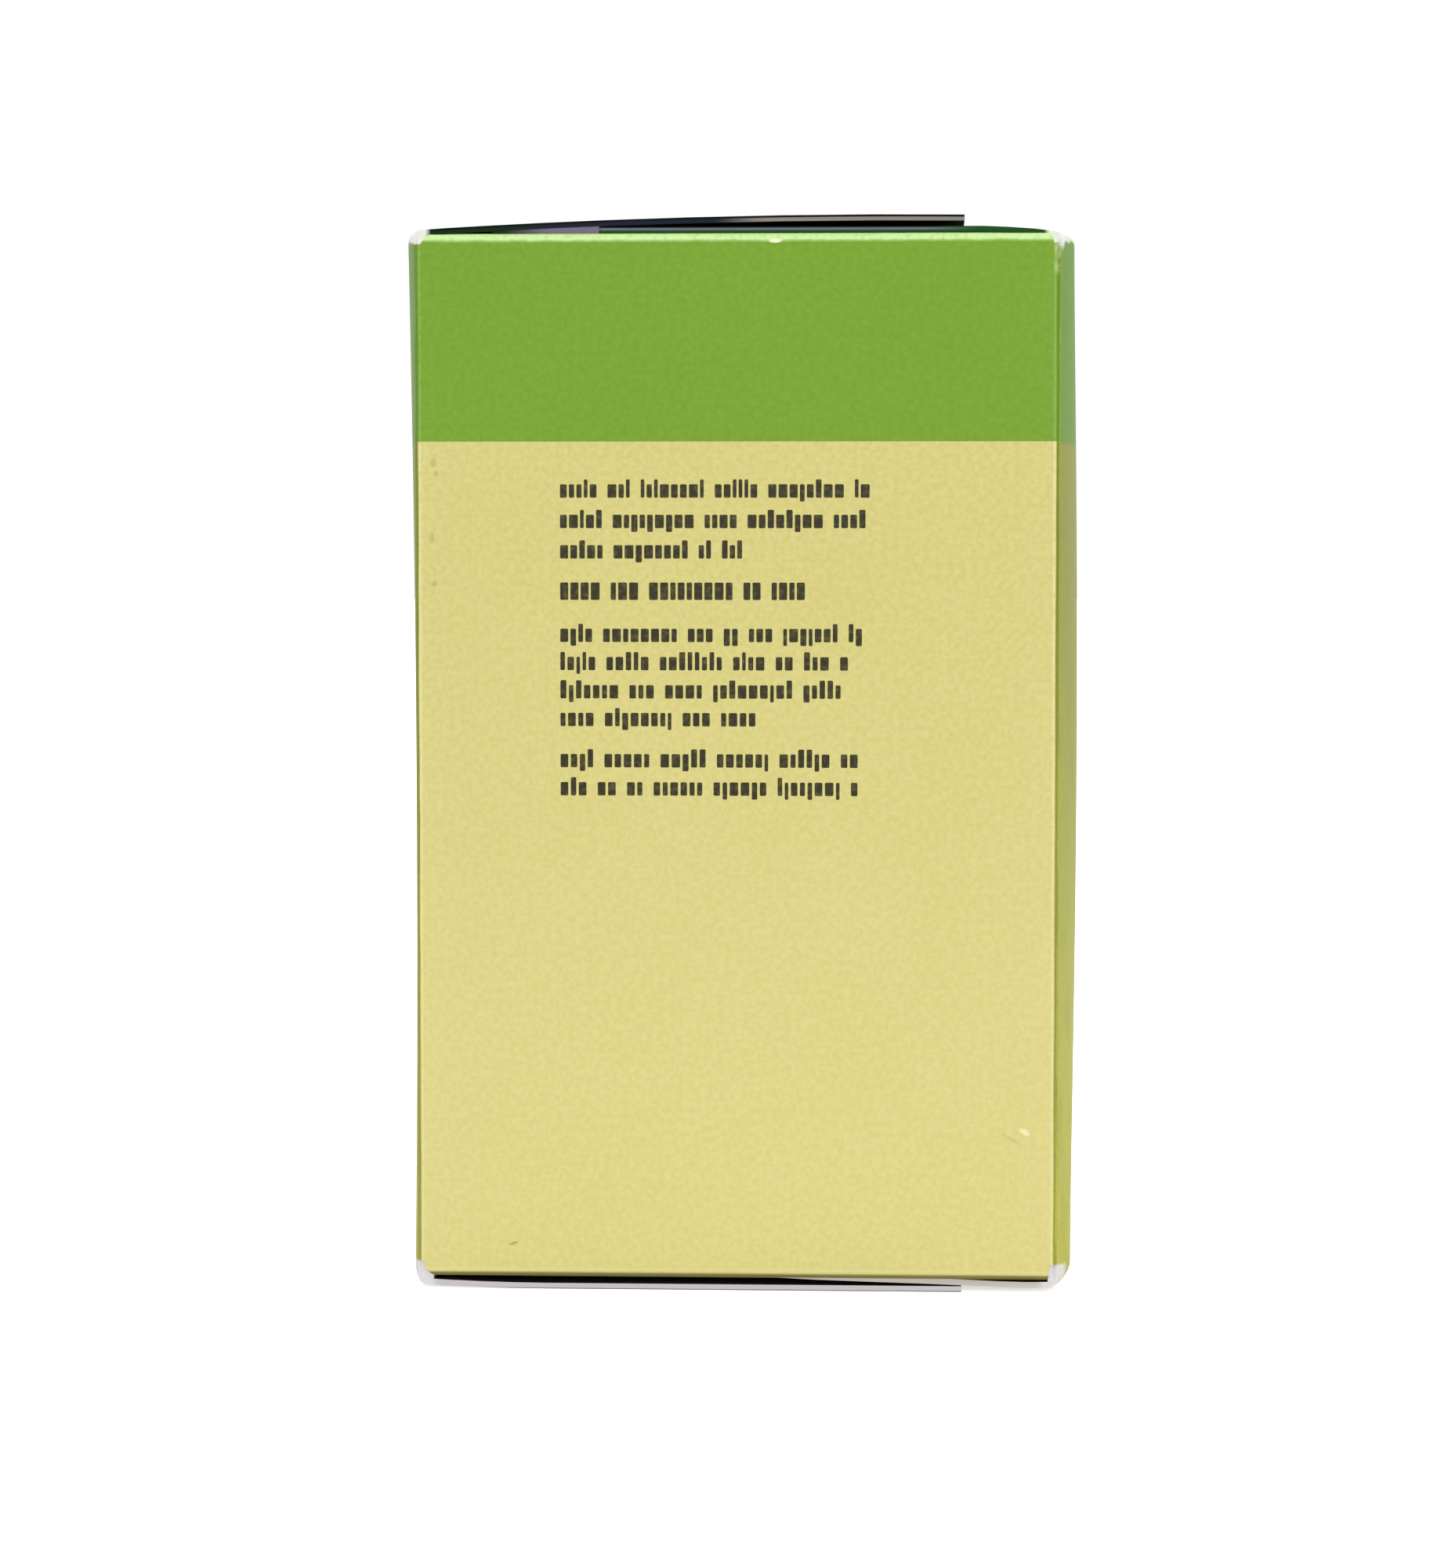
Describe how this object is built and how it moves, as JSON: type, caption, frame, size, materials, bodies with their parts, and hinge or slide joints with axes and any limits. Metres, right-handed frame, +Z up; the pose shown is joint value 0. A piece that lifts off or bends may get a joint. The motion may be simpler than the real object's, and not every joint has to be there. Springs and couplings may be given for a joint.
{
  "type": "box of drink mix stick packs",
  "caption": "Upright glued folding carton for drink mix stick packs, with bowed wide side panels and overlapping closing flaps at both ends.",
  "frame": {"origin": "on the resting plane, under the centre of the carton's bounding box", "axes": "+Z up the carton, +X across the narrow front panel to its right-hand side, +Y from the front panel to the rear"},
  "size_m": [0.0838, 0.1016, 0.1281],
  "materials": {
    "carton": "satin coated folding boxboard, green over pale yellow, with raw grey-cream cut edges"
  },
  "bodies": {
    "root": {"carton": "carton"}
  },
  "joints": []
}
